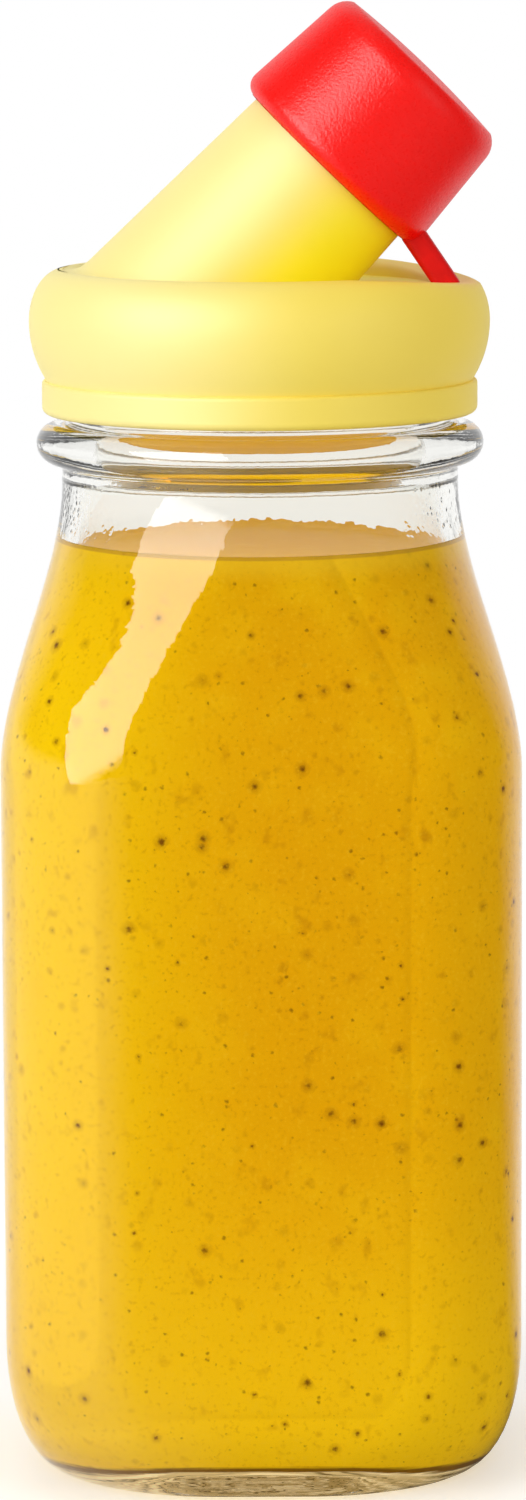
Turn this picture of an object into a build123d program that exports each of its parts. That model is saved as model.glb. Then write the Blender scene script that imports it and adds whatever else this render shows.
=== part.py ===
from build123d import *

import os
from math import atan2, cos, pi, radians, sin, sqrt, tan

os.makedirs("parts", exist_ok=True)

# A square glass dressing bottle with a two-piece screw lid, a slanted spout and a tethered cap.
# All lengths are in millimetres. The origin is the middle of the base, +Z is up,
# and the spout leans towards +X.

# Bottle body: a rounded square whose corners and sides draw in to a round neck
body_width = 60.0
body_corner_radius = 15.5
heel_width = 7.5
heel_height = 17.0
heel_corner_share = 0.8
side_height = 83.3
shoulder_height = 32.7
neck_radius = 23.05
neck_flat = 0.1
glass_wall = 2.4
floor_thickness = 4.0
pushup_depth = 1.2
pushup_width_share = 0.86

# Bottle finish: a round bead under a plain wall that the lid screws down
bead_rise = 4.15
bead_radius = 2.3
bead_proud = 0.65
bead_fillet = 0.8
finish_height = 14.35
finish_step = 0.85
finish_wall = 3.2
mouth_round = 0.8
throat_height = 3.0

# Dressing: it fills the bottle to a level in the neck
dressing_gap = 0.05
level_below_neck = 7.3

# Gasket: a flat washer on the bottle's mouth
gasket_thickness = 1.5
running_gap = 0.3

# Collar: the threaded ring inside the lid, whose lower band shows
collar_above_bead = 1.45
thread_room = 1.0
collar_wall = 0.7
collar_top_gap = 0.1
band_height = 3.3
band_step = 0.5
band_lower_round = 0.8
band_upper_round = 0.3

# Lid cover: a fat ring round a sunken deck, with a plug that centres it in the mouth
cover_fit = 0.05
skirt_wall = 0.85
ring_bulge = 1.95
ring_crown_inset = 3.95
ring_crown_rise = 6.0
deck_thickness = 2.3
deck_sink = 2.0
deck_slope_width = 2.4
plug_wall = 1.5
plug_depth = 4.5
plug_round = 0.4

# Spout: a tapered tube that leans over the lid, sized as shares of the ring's radius
spout_angle = 46.0
spout_lean_share = 0.3125
spout_lift_share = 0.5252
spout_radius_share = 0.4247
spout_taper = 2.4
spout_wall = 2.2
spout_tip_round = 0.6
deck_hole_ledge = 0.4

# Cap: a tapered cup over the end of the spout, whose length goes by the spout's radius
cap_length_share = 1.4155
cap_skirt = 0.5
cap_wall = 1.89
cap_taper = 4.6
cap_end_wall = 2.2
cap_end_round = 2.9
cap_rim_round = 1.75
cap_plug_depth = 3.0
cap_plug_wall = 1.2

# Tether: a flat strap from the cap's rim to a slot in the ring, and the scoop that it lies in
tether_width = 7.0
tether_thickness = 2.8
tether_foot_depth = 1.5
tether_foot_inset = 5.25
tether_seat = 0.75
tether_edge_round = 0.5
tether_fit = 0.1
scoop_radius = 110.0
scoop_depth = 1.6

# How far cuts run past the faces that they open, and how many sections a loft takes
overrun = 1.0
heel_steps = 5
shoulder_steps = 7

# Heights and radii that follow from the sizes above
body_half = body_width / 2
base_half = body_half - heel_width
neck_height = side_height + shoulder_height
bead_height = neck_height + bead_rise
bead_centre_radius = neck_radius + bead_proud
finish_radius = neck_radius - finish_step
mouth_radius = finish_radius - finish_wall
mouth_height = bead_height + finish_height
dressing_level = neck_height - level_below_neck

deck_under = mouth_height + gasket_thickness
deck_top = deck_under + deck_thickness
crown_height = deck_top + deck_sink
ring_middle = crown_height - ring_crown_rise

collar_bottom = bead_height + bead_radius + collar_above_bead
collar_bore = finish_radius + thread_room
collar_radius = collar_bore + collar_wall
band_top = collar_bottom + band_height
cover_bore = collar_radius + cover_fit
waist_radius = cover_bore + skirt_wall
band_radius = waist_radius + band_step
ring_radius = waist_radius + ring_bulge
crown_radius = ring_radius - ring_crown_inset
deck_radius = crown_radius - deck_slope_width
plug_radius = mouth_radius - running_gap
plug_bore = plug_radius - plug_wall

# The spout's axis runs through a point over the deck at the height of the cap's rim
spout_lean = ring_radius * spout_lean_share
spout_lift = ring_radius * spout_lift_share
spout_radius = ring_radius * spout_radius_share
spout_height = deck_top + spout_lift
spout_run = cos(radians(spout_angle))
spout_rise = sin(radians(spout_angle))
spout_axis = Axis((spout_lean, 0, spout_height), (spout_run, 0, spout_rise))
cap_radius = spout_radius + running_gap + cap_wall
cap_end = spout_radius * cap_length_share - cap_skirt
cap_floor = cap_end - cap_end_wall
spout_tip = cap_floor - running_gap


def ease(share):
    """A smooth step from 0 to 1."""
    return share ** 2 * (3 - 2 * share)


def level_section(height, half, corner):
    """The bottle's section at a height: a rounded square, all but round at the neck."""
    with BuildSketch(Plane.XY.offset(height)) as section:
        RectangleRounded(2 * half, 2 * half, corner)
    return section.sketch


def heel_sections(inset, floor):
    """Sections of the heel, a quarter ellipse from the rounder base up to the straight sides."""
    side_corner = body_corner_radius - inset
    sections = []
    for step in range(heel_steps + 1):
        turn = step / heel_steps * pi / 2
        share = 1 - sin(turn)
        half = body_half - inset - (heel_width - inset) * share
        corner = side_corner + (base_half * heel_corner_share - side_corner) * share
        sections.append(level_section(floor + (heel_height - floor) * (1 - cos(turn)), half, corner))
    return sections


def shoulder_section(share, inset):
    """The shoulder's section at a share of its height, with its sides and corners eased in."""
    half = body_half - (body_half - neck_radius) * ease(share)
    corner = body_corner_radius + (neck_radius - neck_flat - body_corner_radius) * ease(share)
    return level_section(side_height + shoulder_height * share, half - inset, corner - inset)


def spout_point(along, out):
    """A point in the XZ plane at a place along the spout's axis and out from it."""
    return (
        spout_lean + along * spout_run + out * spout_rise,
        spout_height + along * spout_rise - out * spout_run,
    )


def spout_outside(along):
    return spout_radius - along * tan(radians(spout_taper))


def cap_outside(along):
    return cap_radius - along * tan(radians(cap_taper))


# The dome that lifts the middle of the base, and the floor above it
pushup_radius = base_half * pushup_width_share
with BuildPart() as pushup:
    with BuildSketch(Plane.XZ):
        with BuildLine():
            Polyline((0, pushup_depth), (0, 0), (pushup_radius, 0))
            TangentArc((0, pushup_depth), (pushup_radius, 0), tangent=(1, 0))
        make_face()
    revolve(axis=Axis.Z)

# The space inside the glass up to the neck, which the dressing also takes its form from
with BuildPart() as cavity:
    loft(sections=heel_sections(glass_wall, floor_thickness))
    extrude(level_section(heel_height, body_half - glass_wall, body_corner_radius - glass_wall),
            amount=side_height - heel_height)
    loft(sections=[shoulder_section(step / shoulder_steps, glass_wall)
                   for step in range(shoulder_steps + 1)])
    add(pushup.part.moved(Location((0, 0, floor_thickness))), mode=Mode.SUBTRACT)

with BuildPart() as bottle:
    loft(sections=heel_sections(0, 0))
    extrude(level_section(heel_height, body_half, body_corner_radius),
            amount=side_height - heel_height)
    loft(sections=[shoulder_section(step / shoulder_steps, 0) for step in range(shoulder_steps + 1)])
    with BuildSketch(Plane.XY.offset(neck_height)):
        Circle(neck_radius + neck_flat)
    extrude(amount=bead_rise)
    with BuildSketch(Plane.XY.offset(bead_height)):
        Circle(finish_radius)
    extrude(amount=finish_height)
    fillet(bottle.edges().group_by(Axis.Z)[-1], mouth_round)
    with BuildSketch(Plane.XZ):
        with Locations((bead_centre_radius, bead_height)):
            Circle(bead_radius)
    revolve(axis=Axis.Z)
    rings = bottle.edges().filter_by(GeomType.CIRCLE).filter_by_position(
        Axis.Z, bead_height - bead_radius, bead_height + bead_radius)
    fillet(rings.filter_by(lambda edge: edge.radius > mouth_radius), bead_fillet)
    add(pushup.part, mode=Mode.SUBTRACT)
    add(cavity.part, mode=Mode.SUBTRACT)
    with BuildSketch(Plane.XZ):
        with BuildLine():
            Polyline(
                (0, neck_height),
                (neck_radius - glass_wall - neck_flat, neck_height),
                (mouth_radius, neck_height + throat_height),
                (mouth_radius, mouth_height + overrun),
                (0, mouth_height + overrun),
                close=True,
            )
        make_face()
    revolve(axis=Axis.Z, mode=Mode.SUBTRACT)
bottle.part.label = "bottle"

with BuildPart() as dressing:
    inset = glass_wall + dressing_gap
    loft(sections=heel_sections(inset, floor_thickness + dressing_gap))
    extrude(level_section(heel_height, body_half - inset, body_corner_radius - inset),
            amount=side_height - heel_height)
    loft(sections=[shoulder_section(step / shoulder_steps, inset)
                   for step in range(shoulder_steps + 1)])
    split(bisect_by=Plane.XY.offset(dressing_level), keep=Keep.BOTTOM)
    add(pushup.part.moved(Location((0, 0, floor_thickness + dressing_gap))), mode=Mode.SUBTRACT)
dressing.part.label = "dressing"

with BuildPart() as gasket:
    with BuildSketch(Plane.XY.offset(mouth_height)):
        Circle(collar_bore - running_gap)
        Circle(mouth_radius, mode=Mode.SUBTRACT)
    extrude(amount=gasket_thickness)
gasket.part.label = "gasket"

with BuildPart() as collar:
    with BuildSketch(Plane.XY.offset(collar_bottom)):
        Circle(band_radius)
    extrude(amount=band_height)
    fillet(collar.edges().group_by(Axis.Z)[0], band_lower_round)
    fillet(collar.edges().group_by(Axis.Z)[-1], band_upper_round)
    with BuildSketch(Plane.XY.offset(collar_bottom)):
        Circle(collar_radius)
    extrude(amount=deck_under - collar_top_gap - collar_bottom)
    with BuildSketch(Plane.XY.offset(collar_bottom)):
        Circle(collar_bore)
    extrude(amount=deck_under - collar_bottom, mode=Mode.SUBTRACT)
collar.part.label = "collar"

# The spout's outside and its bore, each turned about the slanted axis
spout_foot = (deck_under - spout_height - spout_radius) / spout_rise - spout_radius
with BuildPart() as spout_form:
    with BuildSketch(Plane.XZ):
        with BuildLine():
            Polyline(
                spout_point(spout_foot, 0),
                spout_point(spout_foot, spout_outside(spout_foot)),
                spout_point(spout_tip, spout_outside(spout_tip)),
                spout_point(spout_tip, 0),
                close=True,
            )
        make_face()
    revolve(axis=spout_axis)
    fillet(spout_form.edges().sort_by(spout_axis)[-1], spout_tip_round)
    split(bisect_by=Plane.XY.offset(deck_under + deck_thickness / 2), keep=Keep.TOP)

with BuildPart() as bore_form:
    with BuildSketch(Plane.XZ):
        with BuildLine():
            Polyline(
                spout_point(spout_foot, 0),
                spout_point(spout_foot, spout_outside(spout_foot) - spout_wall),
                spout_point(spout_tip + overrun, spout_outside(spout_tip + overrun) - spout_wall),
                spout_point(spout_tip + overrun, 0),
                close=True,
            )
        make_face()
    revolve(axis=spout_axis)
    split(bisect_by=Plane.XY.offset(deck_top), keep=Keep.TOP)

# The hole through the deck lies inside both the plug and the foot of the bore
deck_hole_middle = spout_lean - spout_lift / tan(radians(spout_angle))
deck_hole_half_length = plug_bore - abs(deck_hole_middle) - deck_hole_ledge
deck_hole_half_width = spout_radius - spout_wall - deck_hole_ledge

# The strap's foot stands in a slot in the bottom of the scoop, whose round floor rises beside it,
# and the strap runs straight from there to the side of the cap, just above the rim.
# The scoop is wide and shallow, so it meets the crown well in front of the ring's middle.
scoop_floor = crown_height - scoop_depth
foot_middle = ring_radius - tether_foot_inset
foot_bottom = scoop_floor - tether_foot_depth
foot_top = scoop_floor + scoop_radius - sqrt(scoop_radius ** 2 - (tether_width / 2) ** 2)
strap_top = spout_point(tether_seat, cap_outside(tether_seat) - tether_thickness / 2)
strap_slope = atan2(strap_top[1] - foot_top, foot_middle - strap_top[0])
strap_half = tether_thickness / 2 / sin(strap_slope)

with BuildPart() as lid_cover:
    with BuildSketch(Plane.XZ):
        with BuildLine():
            TangentArc((ring_radius, ring_middle), (waist_radius, band_top), tangent=(0, -1))
            Polyline(
                (waist_radius, band_top),
                (cover_bore, band_top),
                (cover_bore, deck_under),
                (plug_radius, deck_under),
                (plug_radius, deck_under - plug_depth),
                (plug_bore, deck_under - plug_depth),
                (plug_bore, deck_under),
                (0, deck_under),
                (0, deck_top),
                (deck_radius, deck_top),
            )
            TangentArc((crown_radius, crown_height), (deck_radius, deck_top), tangent=(-1, 0))
            EllipticalCenterArc((crown_radius, ring_middle), ring_crown_inset, ring_crown_rise,
                                start_angle=0, arc_size=90)
        make_face()
    revolve(axis=Axis.Z)
    plug_rims = lid_cover.edges().filter_by(GeomType.CIRCLE).filter_by_position(
        Axis.Z, deck_under - plug_depth - plug_round, deck_under - plug_depth + plug_round)
    fillet(plug_rims, plug_round)
    with BuildSketch(Plane.YZ):
        with Locations((0, scoop_floor + scoop_radius)):
            Circle(scoop_radius)
    extrude(amount=ring_radius + overrun, mode=Mode.SUBTRACT)
    add(spout_form.part)
    add(bore_form.part, mode=Mode.SUBTRACT)
    with BuildSketch(Plane.XY.offset(deck_under)):
        with Locations((deck_hole_middle, 0)):
            Ellipse(deck_hole_half_length, deck_hole_half_width)
    extrude(amount=deck_thickness, mode=Mode.SUBTRACT)
    with BuildSketch(Plane.XY.offset(foot_bottom)):
        with Locations((foot_middle, 0)):
            Rectangle(2 * (strap_half + tether_fit), tether_width + 2 * tether_fit)
    extrude(amount=tether_foot_depth + overrun, mode=Mode.SUBTRACT)
lid_cover.part.label = "lid_cover"

with BuildPart() as cap:
    with BuildSketch(Plane.XZ):
        with BuildLine():
            Polyline(
                spout_point(-cap_skirt, 0),
                spout_point(-cap_skirt, cap_outside(-cap_skirt)),
                spout_point(cap_end, cap_outside(cap_end)),
                spout_point(cap_end, 0),
                close=True,
            )
        make_face()
    revolve(axis=spout_axis)
    fillet(cap.edges().sort_by(spout_axis)[-1], cap_end_round)
    fillet(cap.edges().sort_by(spout_axis)[0], cap_rim_round)
    with BuildSketch(Plane.XZ):
        with BuildLine():
            Polyline(
                spout_point(-cap_skirt - overrun, 0),
                spout_point(-cap_skirt - overrun, spout_outside(-cap_skirt - overrun) + running_gap),
                spout_point(cap_floor, spout_outside(cap_floor) + running_gap),
                spout_point(cap_floor, 0),
                close=True,
            )
        make_face()
    revolve(axis=spout_axis, mode=Mode.SUBTRACT)
    plug_start = cap_floor - cap_plug_depth
    with BuildSketch(Plane.XZ):
        with BuildLine():
            Polyline(
                spout_point(plug_start, spout_outside(plug_start) - spout_wall - running_gap),
                spout_point(plug_start,
                            spout_outside(plug_start) - spout_wall - running_gap - cap_plug_wall),
                spout_point(cap_end - cap_end_wall / 2,
                            spout_outside(cap_end) - spout_wall - running_gap - cap_plug_wall),
                spout_point(cap_end - cap_end_wall / 2,
                            spout_outside(cap_end) - spout_wall - running_gap),
                close=True,
            )
        make_face()
    revolve(axis=spout_axis)
cap.part.label = "cap"

# The space that the cap needs, which trims the strap's upper end
with BuildPart() as cap_room:
    with BuildSketch(Plane.XZ):
        with BuildLine():
            Polyline(
                spout_point(-cap_skirt - running_gap, 0),
                spout_point(-cap_skirt - running_gap, cap_outside(-cap_skirt) + running_gap),
                spout_point(cap_end, cap_outside(cap_end) + running_gap),
                spout_point(cap_end, 0),
                close=True,
            )
        make_face()
    revolve(axis=spout_axis)

with BuildPart() as cap_tether:
    with BuildSketch(Plane.XZ):
        with BuildLine():
            Polyline(
                (foot_middle - strap_half, foot_bottom),
                (foot_middle + strap_half, foot_bottom),
                (foot_middle + strap_half, foot_top),
                (strap_top[0] + strap_half, strap_top[1]),
                (strap_top[0] - strap_half, strap_top[1]),
                (foot_middle - strap_half, foot_top),
                close=True,
            )
        make_face()
    extrude(amount=tether_width / 2, both=True)
    long_edges = cap_tether.edges().filter_by(Axis.Y, reverse=True).filter_by_position(
        Axis.Z, foot_top, strap_top[1] - tether_edge_round)
    fillet(long_edges, tether_edge_round)
    add(cap_room.part, mode=Mode.SUBTRACT)
cap_tether.part.label = "cap_tether"

export_step(bottle.part, "parts/bottle.step")
export_step(dressing.part, "parts/dressing.step")
export_step(gasket.part, "parts/gasket.step")
export_step(collar.part, "parts/collar.step")
export_step(lid_cover.part, "parts/lid_cover.step")
export_step(cap.part, "parts/cap.step")
export_step(cap_tether.part, "parts/cap_tether.step")
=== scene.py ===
from math import atan2, cos, pi, radians, sin, sqrt, tan

import bpy
import numpy as np
from mathutils import Matrix, Vector


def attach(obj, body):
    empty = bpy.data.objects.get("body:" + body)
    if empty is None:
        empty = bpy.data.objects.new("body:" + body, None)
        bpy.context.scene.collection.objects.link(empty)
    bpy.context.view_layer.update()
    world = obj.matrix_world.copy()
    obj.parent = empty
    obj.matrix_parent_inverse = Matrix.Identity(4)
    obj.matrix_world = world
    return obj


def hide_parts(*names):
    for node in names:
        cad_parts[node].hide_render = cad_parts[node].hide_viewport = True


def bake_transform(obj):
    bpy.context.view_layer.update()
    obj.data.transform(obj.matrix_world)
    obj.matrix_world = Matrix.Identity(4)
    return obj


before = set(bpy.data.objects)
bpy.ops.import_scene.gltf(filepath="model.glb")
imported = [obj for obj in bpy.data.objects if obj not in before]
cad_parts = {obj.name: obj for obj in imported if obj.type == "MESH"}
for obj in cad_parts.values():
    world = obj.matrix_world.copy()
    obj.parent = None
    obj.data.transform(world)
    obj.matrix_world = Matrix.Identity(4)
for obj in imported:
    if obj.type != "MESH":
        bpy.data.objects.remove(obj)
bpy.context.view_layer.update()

scene = bpy.context.scene
scene.view_settings.view_transform = "Standard"
mm = 0.001


# A surface from a grid of points: each row is a closed ring, and neighbouring rows are joined by quads.
# With loopRows the last row joins the first, as on a tube bent into a ring. Otherwise each end closes
# in a fan round the middle of its row. The faces are turned over if the volume they close is negative.
def skin(name, points, material, loopRows=False, sharp=40):
    rows, cols = points.shape[:2]
    spots = points.reshape(-1, 3)
    i = np.arange(rows if loopRows else rows - 1)[:, None]
    j = np.arange(cols)[None, :]
    nextRow, nextCol = (i + 1) % rows, (j + 1) % cols
    corners = np.stack([i * cols + j, i * cols + nextCol,
                        nextRow * cols + nextCol, nextRow * cols + j], -1).reshape(-1, 4)
    faces = [corners]
    if not loopRows:
        j = np.arange(cols)
        first, last = len(spots), len(spots) + 1
        end = (rows - 1) * cols
        spots = np.vstack([spots, points[0].mean(0), points[-1].mean(0)])
        faces.append(np.stack([np.full(cols, first), (j + 1) % cols, j], -1))
        faces.append(np.stack([np.full(cols, last), end + j, end + (j + 1) % cols], -1))
    volume = sum(np.einsum("ij,ij->i", spots[f[:, 0]], np.cross(spots[f[:, k]], spots[f[:, k + 1]])).sum()
                 for f in faces for k in range(1, f.shape[1] - 1))
    if volume < 0:
        faces = [f[:, ::-1] for f in faces]
    sizes = np.concatenate([np.full(len(f), f.shape[1]) for f in faces])
    mesh = bpy.data.meshes.new(name)
    mesh.vertices.add(len(spots))
    mesh.vertices.foreach_set("co", (spots * mm).astype(np.float32).ravel())
    mesh.loops.add(int(sizes.sum()))
    mesh.loops.foreach_set("vertex_index", np.concatenate([f.ravel() for f in faces]).astype(np.int32))
    mesh.polygons.add(len(sizes))
    mesh.polygons.foreach_set("loop_start", (np.cumsum(sizes) - sizes).astype(np.int32))
    mesh.polygons.foreach_set("use_smooth", np.ones(len(sizes), dtype=bool))
    mesh.update(calc_edges=True)
    mesh.set_sharp_from_angle(angle=radians(sharp))
    mesh.materials.append(material)
    piece = bpy.data.objects.new(name, mesh)
    scene.collection.objects.link(piece)
    print("made", name, len(sizes), "faces")
    return piece


# A line through corners (a, b, radius): straight runs joined by arcs that touch both runs.
# Each run gets a point close to either end, so that shading stays flat between the arcs.
def roundedPath(corners, arcSteps=5, hold=0.12):
    line = []
    for k, (a, b, radius) in enumerate(corners):
        here = np.array([a, b], float)
        if k in (0, len(corners) - 1) or radius == 0:
            line.append(here)
            continue
        before = np.array(corners[k - 1][:2], float) - here
        after = np.array(corners[k + 1][:2], float) - here
        before /= np.linalg.norm(before)
        after /= np.linalg.norm(after)
        half = np.arccos(np.clip(before @ after, -1, 1)) / 2
        reach = radius / tan(half)
        middle = here + (before + after) / np.linalg.norm(before + after) * radius / sin(half)
        start, end = here + before * reach - middle, here + after * reach - middle
        sweep = pi - 2 * half
        side = np.sign(start[0] * end[1] - start[1] * end[0])
        turns = np.linspace(0, sweep, arcSteps + 1) * side
        line.append(here + before * (reach + min(hold, radius)))
        line.extend(middle + np.array([start[0] * cos(t) - start[1] * sin(t),
                                       start[0] * sin(t) + start[1] * cos(t)]) for t in turns)
        line.append(here + after * (reach + min(hold, radius)))
    return np.array(line)


# A profile (radius, height) turned about +Z, one column per angle
def turned(profile, angles):
    r, z = np.asarray(profile, float).T
    return np.stack([r[:, None] * np.cos(angles), r[:, None] * np.sin(angles),
                     np.repeat(z[:, None], len(angles), 1)], -1)


# A smooth step from 0 to 1
def ease(share):
    share = np.clip(share, 0, 1)
    return share ** 2 * (3 - 2 * share)


# The lesser of two heights, with the crease between them rounded over a width
def softMin(a, b, width):
    near = np.clip(0.5 + 0.5 * (b - a) / width, 0, 1)
    return b + (a - b) * near - width * near * (1 - near)


# A socket that can be used in sums: each operator adds its Math node
class Wire:
    def __init__(self, tree, socket):
        self.tree, self.socket = tree, socket

    def math(self, operation, *values, clamp=False):
        step = self.tree.nodes.new("ShaderNodeMath")
        step.operation, step.use_clamp = operation, clamp
        for slot, value in zip(step.inputs, values):
            plug(self.tree, slot, value)
        return Wire(self.tree, step.outputs[0])

    def __add__(self, other): return self.math("ADD", self, other)
    def __radd__(self, other): return self.math("ADD", other, self)
    def __sub__(self, other): return self.math("SUBTRACT", self, other)
    def __rsub__(self, other): return self.math("SUBTRACT", other, self)
    def __mul__(self, other): return self.math("MULTIPLY", self, other)
    def __rmul__(self, other): return self.math("MULTIPLY", other, self)
    def __truediv__(self, other): return self.math("DIVIDE", self, other)
    def clip(self): return self.math("ADD", self, 0.0, clamp=True)
    def size(self): return self.math("ABSOLUTE", self)
    def most(self, other): return self.math("MAXIMUM", self, other)
    def smooth(self): return self * self * (3 - 2 * self)

    # 0 below low, 1 above high, and smooth between
    def between(self, low, high):
        return ((self - low) * (1 / (high - low))).clip().smooth()

    # Another output of the same node
    def other(self, name): return Wire(self.tree, self.socket.node.outputs[name])


def plug(tree, slot, value):
    if isinstance(value, Wire):
        tree.links.new(value.socket, slot)
    else:
        slot.default_value = value


class Nodes:
    def __init__(self, tree):
        self.tree = tree
        tree.nodes.clear()

    # One node: its settings first, then its values and links, and the output that is asked for
    def node(self, kind, settings=None, values=None, out=0):
        made = self.tree.nodes.new(kind)
        for key, value in (settings or {}).items():
            setattr(made, key, value)
        for key, value in (values or {}).items():
            plug(self.tree, made.inputs[key], value)
        return Wire(self.tree, made.outputs[out]) if len(made.outputs) else None

    def output(self, kind, shader):
        self.node("ShaderNodeOutput" + kind, None, {"Surface": shader})


class Finish(Nodes):
    def __init__(self, name):
        self.material = bpy.data.materials.new(name)
        self.material.use_nodes = True
        super().__init__(self.material.node_tree)
        self.place = self.node("ShaderNodeTexCoord", out="Object")

    # The place in the piece, in millimetres, stretched by three factors
    def spread(self, x=1.0, y=1.0, z=1.0):
        return self.node("ShaderNodeVectorMath", {"operation": "MULTIPLY"},
                         {0: self.place, 1: (x / mm, y / mm, z / mm)}, "Vector")

    def axis(self, letter):
        return self.node("ShaderNodeSeparateXYZ", None, {0: self.spread()}, letter)

    # How far the place lies from the middle, or with z at 0 from the upright axis
    def far(self, z=1.0):
        return self.node("ShaderNodeVectorMath", {"operation": "LENGTH"}, {0: self.spread(z=z)}, "Value")

    def noise(self, scale, detail=2.0, roughness=0.5, at=None):
        return self.node("ShaderNodeTexNoise", None,
                         {"Vector": at or self.spread(), "Scale": scale, "Detail": detail,
                          "Roughness": roughness}, "Fac")

    def blend(self, share, a, b):
        return self.node("ShaderNodeMix", {"data_type": "RGBA"}, {0: share, 6: a, 7: b}, 2)

    def bump(self, height, strength, depth):
        return self.node("ShaderNodeBump", None,
                         {"Height": height, "Strength": strength, "Distance": depth}, "Normal")

    def shader(self, **values):
        return self.node("ShaderNodeBsdfPrincipled", None,
                         {key.replace("_", " "): value for key, value in values.items()}, "BSDF")

    def mixShaders(self, share, a, b):
        return self.node("ShaderNodeMixShader", None, {0: share, 1: a, 2: b})

    def glow(self, colour):
        return self.node("ShaderNodeEmission", None, {"Color": colour})


# A screen colour 0 to 255 as the linear values that nodes take
def screen(red, green, blue):
    return tuple(v / 12.92 if v <= 0.04045 else ((v + 0.055) / 1.055) ** 2.4
                 for v in (red / 255, green / 255, blue / 255)) + (1,)


# A linear grey
def grey(value):
    return (value,) * 3 + (1,)


print("stage")
black = (0, 0, 0, 1)
view = dict(place=(0.2, -800.0, 196.3), down=8.0, roll=0.25, lens=165.6, sensor=36, clip=(0.05, 60))
camera = bpy.data.cameras.new("camera")
camera.sensor_fit = "VERTICAL"
camera.sensor_height = view["sensor"]
camera.lens = view["lens"]
camera.clip_start, camera.clip_end = view["clip"]
eye = bpy.data.objects.new("camera", camera)
eye.matrix_world = (Matrix.Translation(Vector(view["place"]) * mm)
                    @ Matrix.Rotation(radians(90 - view["down"]), 4, "X")
                    @ Matrix.Rotation(radians(-view["roll"]), 4, "Z"))
scene.collection.objects.link(eye)
scene.camera = eye

# Places and sizes in metres. The gleam is only seen mirrored, and the other lamps only light.
lampTarget = Vector((0, 0, 0.09))
lamps = dict(
    gleam=dict(place=(-0.85, -0.93, 0.6), size=(1.15, 1.3), power=26.0, lean=24,
               lights=False, fade=0.2),
    key=dict(place=(-0.95, -0.8, 0.55), size=(0.9, 1.1), power=10.5, mirrored=False),
    fill=dict(place=(1.0, -0.9, 0.5), size=(1.0, 1.0), power=5.5, mirrored=False),
    top=dict(place=(-0.1, 0.2, 1.3), size=(0.9, 0.9), power=3.0, mirrored=False),
)
for name, lamp in lamps.items():
    light = bpy.data.lights.new(name, "AREA")
    light.shape = "RECTANGLE"
    light.size, light.size_y = lamp["size"]
    light.energy = lamp["power"]
    holder = bpy.data.objects.new(name, light)
    holder.visible_glossy = lamp.get("mirrored", True)
    holder.visible_diffuse = lamp.get("lights", True)
    holder.visible_transmission = holder.visible_camera = False
    if "fade" in lamp:  # dimmer towards its lower edge
        light.use_nodes = True
        lampNodes = Nodes(light.node_tree)
        lampPlace = lampNodes.node("ShaderNodeNewGeometry", out="Parametric")
        lampUp = lampNodes.node("ShaderNodeSeparateXYZ", None, {0: lampPlace}, "Y")
        lampNodes.output("Light", lampNodes.node("ShaderNodeEmission", None,
                                                 {"Strength": lampUp.between(0.0, lamp["fade"])}))
    holder.location = lamp["place"]
    aim = (lampTarget - Vector(lamp["place"])).to_track_quat("-Z", "Y").to_matrix().to_4x4()
    holder.rotation_euler = (aim @ Matrix.Rotation(radians(lamp.get("lean", 0)), 4, "Z")).to_euler()
    scene.collection.objects.link(holder)


# Shares of the rays that see the white surroundings, straight and through glass or mirrored, and of
# the mirrored ones that see the dark room instead. Pale is 1 in the directions that stay white.
def whiteFor(nodes, pale):
    rays = nodes.node("ShaderNodeLightPath", out="Is Camera Ray")
    straight = rays.most(rays.other("Is Transmission Ray"))
    mirrored = rays.other("Is Glossy Ray") * (1 - straight)
    return straight, mirrored, mirrored * (1 - pale)


# Side is how much the direction of the pale wall on the left lies to the left and to the back. The edge
# pairs are ramps over millimetres from the middle, and the other pairs ramps over directions. Gap is
# the floor's depth under the base in millimetres, and reach how far it goes in metres.
surround = dict(ambient=0.46, mirror=0.05, side=(0.766, 0.643), sideWall=(0.0, 0.5),
                sideTop=(0.08, 0.25), backWall=(0.3, 0.85), floorPale=(-0.65, 0.0), floorGlow=0.36,
                underGlow=(0.42, 0.34, 0.19, 1), glowEdge=(23, 29), whiteEdge=(110, 240),
                gap=0.03, reach=30.0)
sky = bpy.data.worlds.new("sky")
scene.world = sky
sky.use_nodes = True
skyNodes = Nodes(sky.node_tree)
heading = skyNodes.node("ShaderNodeTexCoord", out="Generated")
right = skyNodes.node("ShaderNodeSeparateXYZ", None, {0: heading}, "X")
deep, skyUp = right.other("Y"), right.other("Z")
leftWall = ((deep * surround["side"][1] - right * surround["side"][0]).between(*surround["sideWall"])
            * (1 - skyUp.between(*surround["sideTop"])))
straight, mirrored, dark = whiteFor(skyNodes, deep.between(*surround["backWall"]).most(leftWall))
strength = (straight + mirrored + (1 - straight - mirrored) * surround["ambient"]
            - dark * (1 - surround["mirror"]))
skyNodes.output("World", skyNodes.node("ShaderNodeBackground", None,
                                       {"Color": (1, 1, 1, 1), "Strength": strength}))

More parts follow.
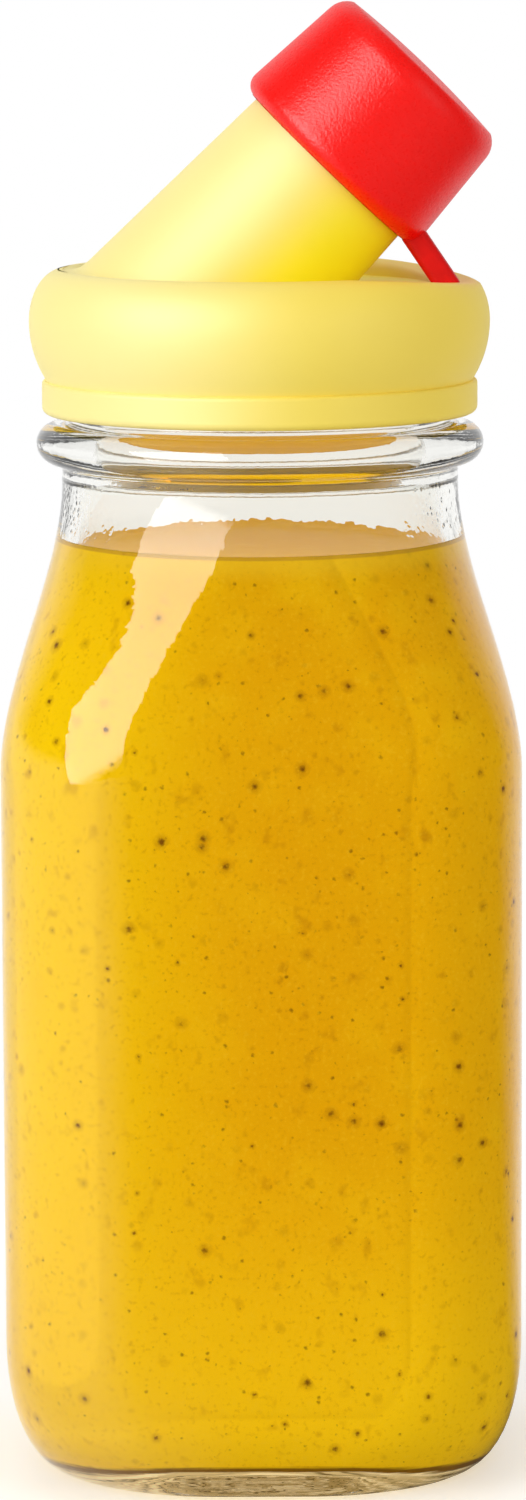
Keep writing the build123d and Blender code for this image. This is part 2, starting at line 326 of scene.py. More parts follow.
# The floor near the object is lit and keeps its shadow, and further off it is plain white. Where it is
# seen, a little glow is added to its light, warmer under the dressing, and none where it only lights.
ground = Finish("whiteFloor")
floorOut = ground.far()
towards = (ground.axis("Y") * surround["side"][1] - ground.axis("X") * surround["side"][0]) / floorOut
straight, mirrored, dark = whiteFor(ground, towards.between(*surround["floorPale"]))
bounced = ground.blend(floorOut.between(*surround["glowEdge"]),
                       surround["underGlow"], grey(surround["floorGlow"]))
litFloor = ground.shader(
    Base_Color=ground.blend(ground.noise(0.4), screen(228, 228, 228), screen(232, 232, 232)),
    Roughness=0.9, Specular_IOR_Level=0.0,
    Emission_Color=ground.blend(straight + mirrored, black, bounced), Emission_Strength=1.0)
shownFloor = ground.mixShaders((straight + mirrored) * floorOut.between(*surround["whiteEdge"]),
                               litFloor, ground.glow(grey(1)))
ground.output("Material", ground.mixShaders(dark, shownFloor, ground.glow(grey(surround["mirror"]))))
floorMesh = bpy.data.meshes.new("floor")
floorMesh.from_pydata([(x * surround["reach"], y * surround["reach"], -surround["gap"] * mm)
                       for x, y in ((-1, -1), (1, -1), (1, 1), (-1, 1))], [], [(0, 1, 2, 3)])
floorMesh.materials.append(ground.material)
floor = bpy.data.objects.new("floor", floorMesh)
scene.collection.objects.link(floor)

# The bottle's form. Lengths are in millimetres here and in every other piece.
bottle = dict(half=30.0, corner=15.5, side=83.3, shoulder=32.7, neck=23.05, neckFlat=0.05,
              heelIn=7.5, heelUp=17.0, heelCorner=18.0, wall=2.4, base=4.0,
              domeUp=1.2, domeRadius=19.35, domeFirst=0.06,
              beadRadius=2.3, beadHeight=120.15, beadMiddle=23.7, beadFillet=0.8,
              finish=22.2, mouth=19.0, mouthHeight=134.5, mouthRound=0.8, mouthInner=0.6,
              throat=3.0, boreEnd=1.5, flare=((0.0, 0.6), (0.3, -0.5), (1.3, -2.5)),
              threadFrom=0.3, threadEnd=1.2, lipFrom=1.0, columns=288)
angles = np.arange(bottle["columns"]) * 2 * pi / bottle["columns"]
neckTop = bottle["side"] + bottle["shoulder"]


# How far a rounded square reaches in each direction: its sides lie half out, and its corners are arcs.
# In an eighth turn from a side's middle, the reach is half / cos(turn) along the side, and then the
# far crossing of the direction with the corner's circle.
def squareReach(half, corner, angles):
    half, corner = half[:, None], corner[:, None]
    turn = np.abs((angles + pi / 4) % (pi / 2) - pi / 4)
    onSide = half / np.cos(turn)
    centre = half - corner
    nearest = centre * (np.cos(turn) + np.sin(turn))
    onArc = nearest + np.sqrt(np.maximum(nearest ** 2 - 2 * centre ** 2 + corner ** 2, 0))
    return np.where(half * np.tan(turn) <= centre, onSide, onArc)


# Rings at heights from rows (half, corner, height)
def rings(rows, angles):
    reach = squareReach(rows[:, 0], rows[:, 1], angles)
    return np.stack([reach * np.cos(angles), reach * np.sin(angles),
                     np.repeat(rows[:, 2:3], len(angles), 1)], -1)


# The half width and corner radius at a share of the shoulder's height: both ease into the neck's
def shoulderAt(share, inset):
    b = bottle
    return (b["half"] - (b["half"] - b["neck"]) * ease(share) - inset,
            b["corner"] + (b["neck"] - b["neckFlat"] - b["corner"]) * ease(share) - inset)


# Rows (half, corner, height) of the bottle's wall drawn in by an inset, from the foot of the heel to
# the neck: a quarter ellipse from the rounder base, straight sides and an eased shoulder
def bodyRows(inset, foot, heelSteps=14, sideSteps=26, shoulderSteps=44):
    b = bottle
    turn = np.linspace(0, pi / 2, heelSteps)
    gone = 1 - np.sin(turn)
    heel = np.stack([b["half"] - inset - (b["heelIn"] - inset) * gone,
                     b["corner"] - inset + (b["heelCorner"] - b["corner"] + inset) * gone,
                     foot + (b["heelUp"] - foot) * (1 - np.cos(turn))], -1)
    heights = np.linspace(b["heelUp"], b["side"], sideSteps)[1:-1]
    side = np.stack([np.full_like(heights, b["half"] - inset),
                     np.full_like(heights, b["corner"] - inset), heights], -1)
    share = np.linspace(0, 1, shoulderSteps)
    shoulder = np.stack([*shoulderAt(share, inset), b["side"] + b["shoulder"] * share], -1)
    return np.vstack([heel, side, shoulder])


# A dome's rows, from near the middle out to a radius: its height falls with the square of the radius
def domeRows(foot, steps=8):
    out = np.linspace(bottle["domeFirst"], 1, steps) * bottle["domeRadius"]
    return np.stack([out, out, foot + bottle["domeUp"] * (1 - (out / bottle["domeRadius"]) ** 2)], -1)


# An arc's points (radius, height)
def arc(middle, height, radius, start, end, steps):
    return [(middle + radius * cos(t), height + radius * sin(t)) for t in np.linspace(start, end, steps)]


# Where a fillet between the bead and an upright wall is centred, and how far round the bead it starts
def beadFillet(wall, side):
    gap = wall + bottle["beadFillet"] - bottle["beadMiddle"]
    rise = sqrt((bottle["beadRadius"] + bottle["beadFillet"]) ** 2 - gap ** 2)
    return wall + bottle["beadFillet"], bottle["beadHeight"] + side * rise, atan2(side * rise, gap)


# The finish: neck, bead with its fillets, wall, lip, bore and throat, as (radius, height)
lowX, lowZ, lowTurn = beadFillet(bottle["neck"], -1)
topX, topZ, topTurn = beadFillet(bottle["finish"], 1)
beadPath = (arc(lowX, lowZ, bottle["beadFillet"], pi, pi + lowTurn, 6)
            + arc(bottle["beadMiddle"], bottle["beadHeight"], bottle["beadRadius"], lowTurn, topTurn, 22)
            + arc(topX, topZ, bottle["beadFillet"], pi + topTurn, pi, 6))
threadZone = [(bottle["finish"], z) for z in np.linspace(topZ + bottle["threadFrom"],
                                                         bottle["mouthHeight"] - bottle["threadEnd"], 34)]
lip = roundedPath([(bottle["finish"], bottle["mouthHeight"] - bottle["lipFrom"], 0),
                   (bottle["finish"], bottle["mouthHeight"], bottle["mouthRound"]),
                   (bottle["mouth"], bottle["mouthHeight"], bottle["mouthInner"]),
                   (bottle["mouth"], neckTop + bottle["throat"] + bottle["boreEnd"], 0)])
throat = [(bottle["mouth"] + wider, neckTop + bottle["throat"] + higher)
          for wider, higher in bottle["flare"]]
finishRows = turned(np.vstack([beadPath, threadZone, lip, throat]), angles)

# Threads: three ridges wind down the wall, each over a share of a turn, as high as height says. Each
# fades in and out over a share of a turn, and steep is how fast its flanks rise.
thread = dict(starts=3, lead=12.0, top=132.0, turn=0.42, height=0.7, halfWidth=1.0, fade=0.04, steep=1.4)
reachOut = np.hypot(finishRows[..., 0], finishRows[..., 1])
turnShare = np.arctan2(finishRows[..., 1], finishRows[..., 0]) % (2 * pi) / (2 * pi)
ridge = np.zeros_like(reachOut)
for k in range(thread["starts"]):
    run = (turnShare - k / thread["starts"]) % 1
    offMiddle = np.abs(finishRows[..., 2] - (thread["top"] - run * thread["lead"]))
    ends = ease(run / thread["fade"]) * ease((thread["turn"] - run) / thread["fade"])
    flank = ease(thread["steep"] - thread["steep"] * offMiddle / thread["halfWidth"])
    ridge = np.maximum(ridge, ends * flank)
wallRow = np.arange(len(finishRows)) - len(beadPath)
onWall = (wallRow >= 0) & (wallRow < len(threadZone))
finishRows[..., :2] *= (1 + ridge * thread["height"] * onWall[:, None] / reachOut)[..., None]

print("glass")
# Wave and depth are the bump's strength and its depth in metres. Lines and drops are their shares of
# it: fine lines only in the base up to linesEnd, and drops only at the sides of the neck.
glassLook = dict(tint=(0.96, 0.957, 0.92, 1), shadow=(0.96, 0.97, 0.965, 1), wave=0.5, depth=0.0004,
                 lines=0.35, linesEnd=(4.0, 8.0), drops=0.15, dropSize=0.4, dropsFrom=(109, 110.5),
                 dropsEnd=(115.5, 117), dropsSide=(14.5, 17))
glass = Finish("clearGlass")
glassUp = glass.axis("Z")
wave = glass.noise(0.10, 1.0, at=glass.spread(z=0.45)) + 0.15 * glass.noise(0.5, 2.0)
baseLines = (glass.noise(1.1, 2.0, at=glass.spread(0.05, 0.05, 1))
             * (1 - glassUp.between(*glassLook["linesEnd"])))
damp = (glass.noise(0.35, 1.0).between(0.45, 0.6) * glassUp.between(*glassLook["dropsFrom"])
        * glass.axis("X").size().between(*glassLook["dropsSide"])
        * (1 - glassUp.between(*glassLook["dropsEnd"])))
dropNear = glass.node("ShaderNodeTexVoronoi", None, {"Vector": glass.spread(), "Scale": 1.2}, "Distance")
drops = (1 - dropNear / glassLook["dropSize"]).clip() * damp * glassLook["drops"]
glassHeight = wave + baseLines * glassLook["lines"] + drops
glassBody = glass.shader(Base_Color=glassLook["tint"], Roughness=0.0, IOR=1.5, Transmission_Weight=1.0,
                         Normal=glass.bump(glassHeight, glassLook["wave"], glassLook["depth"]))
glassShadow = glass.node("ShaderNodeBsdfTransparent", None, {"Color": glassLook["shadow"]})
glass.output("Material", glass.mixShaders(
    glass.node("ShaderNodeLightPath", out="Is Shadow Ray"), glassBody, glassShadow))

outer = rings(np.vstack([domeRows(0), bodyRows(0, 0)[:-1]]), angles)
inner = rings(np.vstack([domeRows(bottle["base"]), bodyRows(bottle["wall"], bottle["base"])]), angles)
glassPiece = skin("bottleGlass", np.concatenate([outer, finishRows, inner[::-1]]), glass.material)
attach(glassPiece, "bottle_body")
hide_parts("bottle")

print("dressing")
# The dressing overlaps the glass, so that no film of air shows. Only from gapFrom to gapTo is it
# clear of the base. Its top climbs the wall by rise, which falls to a twentieth over riseWidth.
dressing = dict(level=108.2, overlap=0.3, clear=0.06, gapFrom=16.0, gapTo=18.5, gapRamp=0.5,
                rise=0.7, riseWidth=2.2, rimGap=0.3, leastCorner=0.05,
                inward=(0, 0.3, 0.5, 0.8, 1.1, 1.5, 2.0, 2.6, 4, 7, 11, 15, 19, 20.5))
inset = bottle["wall"] - dressing["overlap"]
rimUp = dressing["level"] + dressing["rise"]
floorRows = domeRows(bottle["base"] - dressing["overlap"], 40)
free = (ease((floorRows[:, 0] - dressing["gapFrom"]) / dressing["gapRamp"])
        * (1 - ease((floorRows[:, 0] - dressing["gapTo"]) / dressing["gapRamp"])))
floorRows[:, 2] += (dressing["overlap"] + dressing["clear"]) * free
sideRows = np.vstack([floorRows, bodyRows(inset, bottle["base"] - dressing["overlap"], heelSteps=30)])
sideRows = sideRows[sideRows[:, 2] < rimUp - dressing["rimGap"]]
edgeHalf, edgeCorner = shoulderAt((rimUp - bottle["side"]) / bottle["shoulder"], inset)
inward = np.array(dressing["inward"])
fall = dressing["rise"] * np.exp(-np.maximum(inward - dressing["overlap"], 0) / dressing["riseWidth"] * 3)
topRows = np.stack([edgeHalf - inward, np.maximum(edgeCorner - inward, dressing["leastCorner"]),
                    dressing["level"] + fall], -1)


# Specks of herb in cells, so many to the millimetre: size is a speck's most reach in millimetres, soft
# the share of its reach that fades, and empty the share of cells that hold none. A wobble bends them.
def specks(finish, cells, size, soft, empty):
    wobble = finish.node("ShaderNodeTexNoise", None,
                         {"Vector": finish.spread(), "Scale": 3.0, "Detail": 1.0}, "Color")
    moved = finish.node("ShaderNodeVectorMath", {"operation": "MULTIPLY_ADD"},
                        {0: wobble, 1: (0.35, 0.35, 0.35), 2: finish.spread()}, "Vector")
    near = finish.node("ShaderNodeTexVoronoi", None, {"Vector": moved, "Scale": cells}, "Distance")
    pick = finish.node("ShaderNodeSeparateColor", None, {0: near.other("Color")}, "Red")
    reach = size * cells * (0.4 + 0.6 * pick.other("Green"))
    return (1 - ((near - reach * (1 - soft)) / (reach * soft)).clip()) * pick.between(empty, empty + 0.01)


# Colours, ramps over millimetres or over a noise, and layers of specks: cells, size, soft, empty,
# strength and colour. Some of these colours are painted light and shade. LineUp is the height of the
# painted dark line round the foot.
liquidLook = dict(left=screen(251, 213, 4), middle=screen(234, 177, 1), right=screen(240, 187, 3),
                  pale=screen(246, 202, 12), top=screen(246, 204, 40), blot=screen(186, 122, 4),
                  fleck=screen(140, 84, 6), speck=screen(96, 46, 5), halo=screen(164, 104, 6),
                  line=screen(134, 94, 10), under=screen(244, 222, 168), ring=screen(150, 128, 76),
                  glow=(0.27, 0.235, 0.16, 1), rim=screen(178, 130, 50), lineUp=4.3,
                  leftTo=(0, 34), rightFrom=12, rightTo=(0, 18), footTo=(8, 50), topBand=2.6,
                  clouds=(0.45, 0.8), blots=(0.6, 0.78), grain=(0.55, 0.75), pits=(0.3, 0.45),
                  underOut=(17, 19.5), underUp=(6, 7), dim=(0.36, 0.46), bright=(0.52, 0.6),
                  layers=((0.28, 0.75, 0.9, 0.45, 0.5, "blot"), (0.8, 0.2, 0.8, 0.3, 0.5, "fleck"),
                          (0.55, 0.34, 0.7, 0.35, 0.65, "speck"), (0.36, 1.15, 0.95, 0.6, 0.6, "halo"),
                          (0.36, 0.5, 0.6, 0.6, 0.85, "speck")))
liquid = Finish("dressingLiquid")
across, up, out = liquid.axis("X"), liquid.axis("Z"), liquid.far(z=0)
lineUp, topFrom = liquidLook["lineUp"], dressing["level"] - liquidLook["topBand"]
# Painted light: lighter to the left, where the lamps fall, and a little lighter to the right than in the
# middle, making up for the dimmer light there
shade = liquid.blend((across + bottle["half"]).between(*liquidLook["leftTo"]),
                     liquidLook["left"], liquidLook["middle"])
shade = liquid.blend((across - liquidLook["rightFrom"]).between(*liquidLook["rightTo"]),
                     shade, liquidLook["right"])
# Painted light: paler towards the foot, for the light thrown up from the floor
shade = liquid.blend(1 - up.between(*liquidLook["footTo"]), shade, liquidLook["pale"])
clouds, blots = liquid.noise(0.16, 3.0), liquid.noise(0.45, 2.0, at=liquid.spread(z=0.8))
shade = liquid.blend(clouds.between(*liquidLook["clouds"]) * 0.5, shade, liquidLook["pale"])
shade = liquid.blend(blots.between(*liquidLook["blots"]) * 0.35, shade, liquidLook["blot"])
for cells, size, soft, empty, share, tone in liquidLook["layers"]:
    shade = liquid.blend(specks(liquid, cells, size, soft, empty) * share, shade, liquidLook[tone])
grain = liquid.noise(1.8, 3.0)
shade = liquid.blend(grain.between(*liquidLook["grain"]) * 0.3, shade, liquidLook["blot"])
shade = liquid.blend((1 - grain.between(*liquidLook["pits"])) * 0.3, shade, liquidLook["top"])
shade = liquid.blend(up.between(topFrom, dressing["level"]) * 0.6, shade, liquidLook["top"])
# A painted dark line round the foot, and the underside below it painted pale: the painted shade and
# light that the thick base shows
shade = liquid.blend(1 - up.between(lineUp + 0.1, lineUp + 0.5), shade, liquidLook["line"])
below = 1 - up.between(lineUp - 0.3, lineUp - 0.1)
below = below.most((1 - out.between(*liquidLook["underOut"])) * (1 - up.between(*liquidLook["underUp"])))
shade = liquid.blend(below, shade, liquidLook["under"])
# Rings of light and shade that the thick base throws on the dressing's underside
rounds = liquid.node("ShaderNodeCombineXYZ", None,
                     {0: out, 1: liquid.axis("X") * 0.06, 2: liquid.axis("Y") * 0.06})
bands = liquid.noise(1.1, 2.0, at=rounds)
shade = liquid.blend(below * (1 - bands.between(*liquidLook["dim"])), shade, liquidLook["ring"])
glow = liquid.blend(below * bands.between(*liquidLook["bright"]), black, liquidLook["glow"])
shade = liquid.blend(up.between(rimUp - 0.5, rimUp - 0.3) * 0.55, shade, liquidLook["rim"])
liquid.output("Material", liquid.shader(Base_Color=shade, Roughness=0.6, Specular_IOR_Level=0.0,
                                        Emission_Color=glow, Emission_Strength=1.0))

# The surface is partly matt, with light that comes up through the dressing, and partly glossy
surfaceLook = dict(dark=screen(236, 184, 36), pale=screen(240, 194, 60),
                   through=(0.15, 0.07, 0.0, 1), gloss=0.24)
surface = Finish("dressingSurface")
swell = surface.noise(0.25, 3.0, at=surface.spread(y=2.4))
surfaceTone = surface.blend(swell.between(0.35, 0.75), surfaceLook["dark"], surfaceLook["pale"])
surface.output("Material", surface.mixShaders(
    surfaceLook["gloss"],
    surface.shader(Base_Color=surfaceTone, Roughness=0.6, Specular_IOR_Level=0.0,
                   Emission_Color=surfaceLook["through"], Emission_Strength=1.0),
    surface.shader(Base_Color=surfaceTone, Roughness=0.16, IOR=1.45,
                   Normal=surface.bump(swell, 0.4, 0.0003))))
dressingPiece = skin("dressingFill", rings(np.vstack([sideRows, topRows]), angles), liquid.material)
dressingPiece.data.materials.append(surface.material)
onTop = np.zeros(len(dressingPiece.data.polygons), dtype=np.int32)
onTop[(len(sideRows) + 1) * bottle["columns"]:(len(sideRows) + len(topRows) - 1) * bottle["columns"]] = 1
onTop[-bottle["columns"]:] = 1  # the fan in the middle
dressingPiece.data.polygons.foreach_set("material_index", onTop)
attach(dressingPiece, "bottle_body")
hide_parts("dressing")

print("lid")
# Ring, deck, plug and spout are one moulding
cover = dict(bore=23.95, waist=24.8, foot=127.5, groove=0.45, ring=26.75, ringMiddle=134.3,
             crown=22.8, crownTop=140.3, deck=20.4, deckTop=138.3, deckUnder=136.0, deckSoft=0.35,
             slopeTurn=74, underFrom=15.5, plugOut=18.7, plugIn=17.2, plugFoot=131.5, plugRound=0.5,
             inRound=0.3, lap=0.08, scoopRadius=110.0, scoopFloor=138.7, scoopSoft=0.7, scoopFrom=4,
             scoopEase=10, scoopAbove=138.5, holeMiddle=-5.21, holeLength=11.59, holeWidth=8.76,
             rootFillet=(0.9, 1.9))
spout = dict(middle=(8.36, 0, 152.35), angle=46.0, radius=11.36, taper=2.4, wall=2.2,
             tip=13.08, tipRound=0.6, tipInner=0.4, tipRun=1.2, boreRun=1.5)
spoutMiddle = np.array(spout["middle"])
along = np.array([cos(radians(spout["angle"])), 0, sin(radians(spout["angle"]))])
outward = np.array([along[2], 0, -along[0]])


# A point on a tube about the slanted axis: so far along it, turned from its underside, and so far out
def spoutPoint(run, turn, out):
    run, out = np.asarray(run, float)[..., None], np.asarray(out, float)[..., None]
    turn = np.asarray(turn)
    return (spoutMiddle + run * along + out * (np.cos(turn)[..., None] * outward
                                               + np.sin(turn)[..., None] * np.array([0, 1, 0])))


# A profile (run, out) turned about the slanted axis
def spoutTurned(profile, turns):
    return spoutPoint(np.repeat(profile[:, :1], len(turns), 1),
                      np.broadcast_to(turns, (len(profile), len(turns))),
                      np.repeat(profile[:, 1:], len(turns), 1))


def spoutOut(run):
    return spout["radius"] - run * tan(radians(spout["taper"]))


# The height of the lid's top at a distance from its axis: the deck, and an arc that ends level at the
# crown. The arc is cut just short of upright, where its height has no value.
def lidTop(r):
    inside = np.clip(cover["crown"] - r, 0, slopeRadius * 0.999)
    rise = cover["crownTop"] - slopeRadius + np.sqrt(slopeRadius ** 2 - inside ** 2)
    return -softMin(-rise, -np.full_like(rise, cover["deckTop"]), cover["deckSoft"])


# The radius of an arc that leaves a straight line smoothly and lies so far aside of it after so long:
# the sum of both squares, over twice how far aside
def arcRadius(aside, length):
    return (aside ** 2 + length ** 2) / (2 * aside)


slopeRadius = arcRadius(cover["crownTop"] - cover["deckTop"], cover["crown"] - cover["deck"])
waistRadius = arcRadius(cover["ring"] - cover["waist"], cover["ringMiddle"] - cover["foot"])

# Where each line along the tube meets the lid's top: from well under it, each step goes part of the way
# that its height still lacks
root = np.full_like(angles, -20.0)
for _ in range(60):
    spot = spoutPoint(root, angles, spoutOut(root))
    root = root + 0.6 * (lidTop(np.hypot(spot[:, 0], spot[:, 1])) - spot[:, 2]) / along[2]

# The deck's edge round the spout's foot, a fillet's length out from it
leastFillet, mostFillet = cover["rootFillet"]
fillets = leastFillet + (mostFillet - leastFillet) * ease(-np.cos(angles))
rootSpot = spoutPoint(root, angles, spoutOut(root))
apronOut = rootSpot[:, :2] - np.array([rootSpot[:, 0].mean(), 0])
apronOut /= np.linalg.norm(apronOut, axis=1)[:, None]
apron = rootSpot[:, :2] + apronOut * fillets[:, None]
apronTurn = np.arctan2(apron[:, 1], apron[:, 0])
apronReach = np.hypot(apron[:, 0], apron[:, 1])

# Outside of the ring: groove edge, waist arc, quarter ellipse
fallTo = np.arcsin((cover["ringMiddle"] - cover["foot"] - cover["groove"]) / waistRadius)
waistArc = [(cover["ring"] - waistRadius + waistRadius * cos(t),
             cover["ringMiddle"] - waistRadius * sin(t)) for t in np.linspace(fallTo, 0, 12)]
crownArc = [(cover["crown"] + (cover["ring"] - cover["crown"]) * cos(t),
             cover["ringMiddle"] + (cover["crownTop"] - cover["ringMiddle"]) * sin(t))
            for t in np.linspace(0, pi / 2, 30)[1:]]
lowEdge = cover["foot"] - cover["lap"]
underPath = roundedPath([(cover["underFrom"], cover["deckUnder"], 0),
                         (cover["plugIn"], cover["deckUnder"], cover["inRound"]),
                         (cover["plugIn"], cover["plugFoot"], cover["plugRound"]),
                         (cover["plugOut"], cover["plugFoot"], cover["plugRound"]),
                         (cover["plugOut"], cover["deckUnder"], cover["inRound"]),
                         (cover["bore"], cover["deckUnder"], cover["inRound"]),
                         (cover["bore"], lowEdge, 0.1), (cover["waist"] + 0.02, lowEdge, 0.05),
                         (waistArc[0][0], waistArc[0][1] + 0.1, 0)], 4)[:-1]
ringRows = turned(np.vstack([underPath, waistArc, crownArc]), apronTurn)

# The slope down to the deck, and the deck in to the spout's foot, with heights from lidTop
slopeTurn = radians(cover["slopeTurn"])
slopeEnd = np.maximum(cover["deck"] - 0.5, apronReach + 0.2)
slopeShare = np.sin(np.linspace(0, slopeTurn, 16)[1:]) / sin(slopeTurn)
slopeReach = cover["crown"] + (slopeEnd - cover["crown"]) * slopeShare[:, None]
deckReach = slopeEnd + (apronReach - slopeEnd) * np.linspace(0, 1, 7)[1:, None]
reachRows = np.vstack([slopeReach, deckReach])
deckRows = np.stack([reachRows * np.cos(apronTurn), reachRows * np.sin(apronTurn), lidTop(reachRows)], -1)
lidRows = np.concatenate([ringRows, deckRows])

# The scoop in the ring's crown under the cap: a wide hollow across it, eased in from its left
lidX, lidY, lidZ = lidRows[..., 0], lidRows[..., 1], lidRows[..., 2]
scoop = cover["scoopFloor"] + cover["scoopRadius"] - np.sqrt(cover["scoopRadius"] ** 2 - lidY ** 2)
scoopEdge = cover["scoopSoft"] * ease((lidX - cover["scoopFrom"]) / cover["scoopEase"]) + 0.01
inScoop = (lidX > cover["scoopFrom"]) & (lidZ > cover["scoopAbove"])
lidRows[..., 2] = np.where(inScoop, softMin(lidZ, scoop, scoopEdge), lidZ)

# The fillet at the spout's foot: a curve that leaves the deck level and meets the tube's side
apronEdge, lift = lidRows[-1], spoutPoint(root + fillets, angles, spoutOut(root + fillets))
bend = np.linspace(0, 1, 8)[1:-1, None, None]
filletRows = (1 - bend) ** 2 * apronEdge + 2 * bend * (1 - bend) * rootSpot + bend ** 2 * lift

# The tube outside, its tip, the bore down to the deck's top, and the hole through the deck. The height
# of each of the bore's lines changes evenly with the run, so one division finds where it is the deck's.
tipStart, boreStart = spout["tip"] - spout["tipRun"], spout["tip"] - spout["boreRun"]
tubeRun = root + fillets + (tipStart - root - fillets) * np.linspace(0, 1, 14)[:, None]
tubeRows = spoutPoint(tubeRun, np.broadcast_to(angles, tubeRun.shape), spoutOut(tubeRun))
tipPath = roundedPath([(tipStart, spoutOut(tipStart), 0),
                       (spout["tip"], spoutOut(spout["tip"]), spout["tipRound"]),
                       (spout["tip"], spoutOut(spout["tip"]) - spout["wall"], spout["tipInner"]),
                       (boreStart, spoutOut(boreStart) - spout["wall"], 0)], 5)[1:]
slant = along[2] + tan(radians(spout["taper"])) * along[0] * np.cos(angles)
boreRoot = (cover["deckTop"] - spoutMiddle[2]
            + (spout["radius"] - spout["wall"]) * along[0] * np.cos(angles)) / slant
boreRun = boreStart + (boreRoot - spout["tip"] + spout["boreRun"]) * np.linspace(0, 1, 10)[1:, None]
boreRows = spoutPoint(boreRun, np.broadcast_to(angles, boreRun.shape), spoutOut(boreRun) - spout["wall"])
hole = np.stack([cover["holeMiddle"] + cover["holeLength"] * np.cos(angles),
                 cover["holeWidth"] * np.sin(angles), np.zeros_like(angles)], -1)
holeRows = np.stack([hole + (0, 0, h) for h in (cover["deckTop"], cover["deckTop"] - 0.1,
                                                cover["deckUnder"] + 0.1, cover["deckUnder"])])
lidPoints = np.concatenate([lidRows, filletRows, tubeRows, spoutTurned(tipPath, angles),
                            boreRows, holeRows])

# Painted light: paler to the left and up the spout, where the light falls, and a painted shade,
# deeper yellow, to the right. Painted bounce light: warmer under the spout and on the deck below it.
lidLook = dict(body=screen(248, 223, 88), deep=screen(247, 221, 84), pale=screen(251, 235, 148),
               paintedBounce=screen(255, 240, 0), shade=screen(250, 220, 80), through=(0.24, 0.135, 0.0, 1),
               spoutFrom=141, paleTo=(-18, 8), shadeFrom=(-2, 24), paintedBounceFrom=(-2, 6.5),
               deckEdge=(19.5, 21), overRing=(141.0, 142.0), thinOut=(19.2, 19.8), thinUp=(136.6, 137.4))
lidPlastic = Finish("paleYellowPlastic")
lidAcross, lidUp, lidOut = lidPlastic.axis("X"), lidPlastic.axis("Z"), lidPlastic.far(z=0)
lidTone = lidPlastic.blend(lidPlastic.noise(0.08, 2.0).between(0.35, 0.7),
                           lidLook["body"], lidLook["deep"])
onSpout = (lidUp - lidLook["spoutFrom"]).most(0)
# Painted light on the left and up the spout, then painted shade to the right
lidTone = lidPlastic.blend((lidAcross - onSpout).between(*lidLook["paleTo"]), lidLook["pale"], lidTone)
lidTone = lidPlastic.blend(lidAcross.between(*lidLook["shadeFrom"]), lidTone, lidLook["shade"])
# Painted bounce light from the ring and deck: warmer yellow under the spout, inside the ring
underSpout = ((lidAcross - spout["middle"][0]) * float(along[2])
              - (lidUp - spout["middle"][2]) * float(along[0])).between(*lidLook["paintedBounceFrom"])
insideRing = (1 - lidOut.between(*lidLook["deckEdge"])).most(lidUp.between(*lidLook["overRing"]))
lidTone = lidPlastic.blend(underSpout * insideRing * 0.95, lidTone, lidLook["paintedBounce"])
# Daylight that comes through the thin deck warms its underside and the plug's inner wall
through = (1 - lidOut.between(*lidLook["thinOut"])) * (1 - lidUp.between(*lidLook["thinUp"]))
lidGrain = lidPlastic.noise(6.0, 2.0)
lidPlastic.output("Material", lidPlastic.shader(
    Base_Color=lidTone, Roughness=0.48 + 0.08 * lidGrain, Specular_IOR_Level=0.75,
    Emission_Color=lidPlastic.blend(through, black, lidLook["through"]), Emission_Strength=1.0,
    Normal=lidPlastic.bump(lidGrain, 0.15, 0.00003)))
lidPiece = skin("lidCover", lidPoints, lidPlastic.material, loopRows=True)
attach(lidPiece, "lid_body")
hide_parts("lid_cover")

# The collar: a tall ring in the lid with a thick band at its foot
collar = dict(bore=23.2, wall=23.9, band=25.3, foot=123.6, bandTop=127.5, top=135.9, seam=128,
              footRound=0.8, bandRound=0.48, inRound=0.3, wallRound=0.2)
collarPath = roundedPath([(collar["bore"], collar["seam"], 0),
                          (collar["bore"], collar["foot"], collar["inRound"]),
                          (collar["band"], collar["foot"], collar["footRound"]),
                          (collar["band"], collar["bandTop"], collar["bandRound"]),
                          (collar["wall"], collar["bandTop"], collar["wallRound"]),
                          (collar["wall"], collar["top"], collar["wallRound"]),
                          (collar["bore"], collar["top"], collar["wallRound"]),
                          (collar["bore"], collar["seam"] + 0.2, 0)])
collarPiece = skin("collarRing", turned(collarPath, angles), lidPlastic.material, loopRows=True)
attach(collarPiece, "lid_body")
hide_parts("collar")

print("cap")
# Runs are along the spout's axis. Crease is how far round its edge the end's rounding goes, in degrees.
cap = dict(radius=13.545, taper=4.6, rim=-0.5, end=15.58, endRound=2.9, rimRound=1.75, crease=62,
           crown=0.5, gap=0.3, floor=13.38, floorRound=0.4, plugStart=10.38, plugWall=1.2,
           plugDraft=0.1, edgeRound=0.3, plugRoot=0.2, waist=5, flatOut=5, middle=0.4, columns=256)


def capOut(run):
    return cap["radius"] - run * tan(radians(cap["taper"]))


# The cap's bore, a gap out from the spout
def capBore(run):
    return spoutOut(run) + cap["gap"]


plugOut = spoutOut(cap["plugStart"]) - spout["wall"] - cap["gap"]
plugIn = plugOut - cap["plugWall"]
wholePath = roundedPath([(cap["end"], cap["middle"], 0), (cap["end"], cap["flatOut"], 0),
                         (cap["end"], capOut(cap["end"]), cap["endRound"]),
                         (cap["waist"], capOut(cap["waist"]), 0),
                         (cap["rim"], capOut(cap["rim"]), cap["rimRound"]),
                         (cap["rim"], capBore(cap["rim"]), cap["edgeRound"]),
                         (cap["waist"], capBore(cap["waist"]), 0),
                         (cap["floor"], capBore(cap["floor"]), cap["floorRound"]),
                         (cap["floor"], plugOut - cap["plugDraft"], cap["plugRoot"]),
                         (cap["plugStart"], plugOut, cap["edgeRound"]),
                         (cap["plugStart"], plugIn, cap["edgeRound"]),
                         (cap["floor"], plugIn, cap["plugRoot"]),
                         (cap["floor"], cap["middle"], 0)], 8)
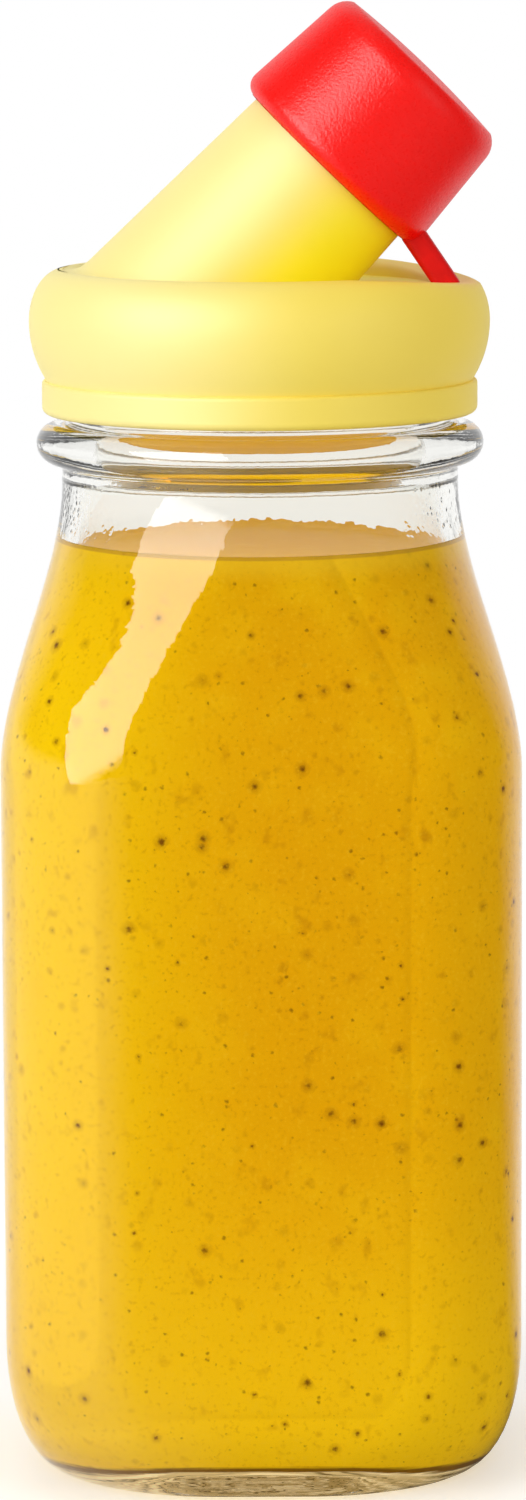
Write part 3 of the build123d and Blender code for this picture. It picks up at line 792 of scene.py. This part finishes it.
# The end's rounding stops short in a crease, and a slight dome closes the end
edgeAlong = cap["end"] - cap["endRound"] * (1 - sin(radians(cap["crease"])))
beyond = np.nonzero(wholePath[:, 0] < edgeAlong)[0][0]
edgeRuns, edgeOuts = wholePath[beyond - 1:beyond + 1][::-1].T
edgeOut = np.interp(edgeAlong, edgeRuns, edgeOuts)
domeOut = np.linspace(cap["middle"], edgeOut, 12)
dome = np.stack([edgeAlong + cap["crown"] * (1 - (domeOut / edgeOut) ** 2), domeOut], -1)
capPath = np.vstack([dome, wholePath[beyond:]])
capRows = spoutTurned(capPath, np.arange(cap["columns"]) * 2 * pi / cap["columns"])

# Gloss is the share of the glossy coat, and the rest is matt
capLook = dict(body=screen(248, 14, 6), deep=screen(244, 12, 5), strap=screen(180, 7, 3), gloss=0.55)
capPlastic = Finish("redPlastic")
capGrain = capPlastic.noise(3.0, 2.0)
capTone = capPlastic.blend(capPlastic.noise(0.1).between(0.35, 0.7), capLook["body"], capLook["deep"])
capPlastic.output("Material", capPlastic.mixShaders(
    capLook["gloss"],
    capPlastic.shader(Base_Color=capTone, Roughness=0.6, Specular_IOR_Level=0.0),
    capPlastic.shader(Base_Color=capTone, Roughness=0.25 + 0.06 * capGrain, Specular_IOR_Level=0.72,
                      Normal=capPlastic.bump(capGrain, 0.5, 0.00013))))
capPiece = skin("cap_shell", capRows, capPlastic.material)
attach(capPiece, "cap_body")
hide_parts("cap")

# The strap: a rounded bar from the ring up to the cap's rim, in the plane y = 0
strap = dict(width=7.0, thickness=2.8, foot=(22.55, 137.2), top=(17.7, 144.4), round=0.8,
             rows=24, seam=-0.1)
strapFoot, strapTop = np.array(strap["foot"]), np.array(strap["top"])
strapLine = strapFoot + (strapTop - strapFoot) * np.linspace(0, 1, strap["rows"])[:, None]
lean = (strapTop - strapFoot) / np.linalg.norm(strapTop - strapFoot)
strapOut = np.array([lean[1], -lean[0]])
thick, wide = strap["thickness"] / 2, strap["width"] / 2
section = roundedPath([(0, wide, 0), (thick, wide, strap["round"]), (thick, -wide, strap["round"]),
                       (-thick, -wide, strap["round"]), (-thick, wide, strap["round"]),
                       (strap["seam"], wide, 0)], 5)
strapRows = np.stack([strapLine[:, :1] + strapOut[0] * section[:, 0],
                      np.repeat(section[None, :, 1], strap["rows"], 0),
                      strapLine[:, 1:] + strapOut[1] * section[:, 0]], -1)
strapRubber = Finish("redStrap")
strapRubber.output("Material", strapRubber.shader(
    Base_Color=strapRubber.blend(strapRubber.noise(0.3), capLook["strap"], capLook["deep"]),
    Roughness=0.5 + 0.08 * strapRubber.noise(3.6), Specular_IOR_Level=0.15))
strapPiece = skin("capStrap", strapRows, strapRubber.material, sharp=50)
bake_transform(strapPiece)
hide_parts("cap_tether")

# The gasket keeps its packed form
rubber = Finish("sealRubber")
rubber.output("Material", rubber.shader(
    Base_Color=rubber.blend(rubber.noise(0.5), screen(232, 230, 222), screen(222, 219, 210)),
    Roughness=0.55, Normal=rubber.bump(rubber.noise(4.0), 0.2, 0.00003)))
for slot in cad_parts["gasket"].material_slots:
    slot.material = rubber.material
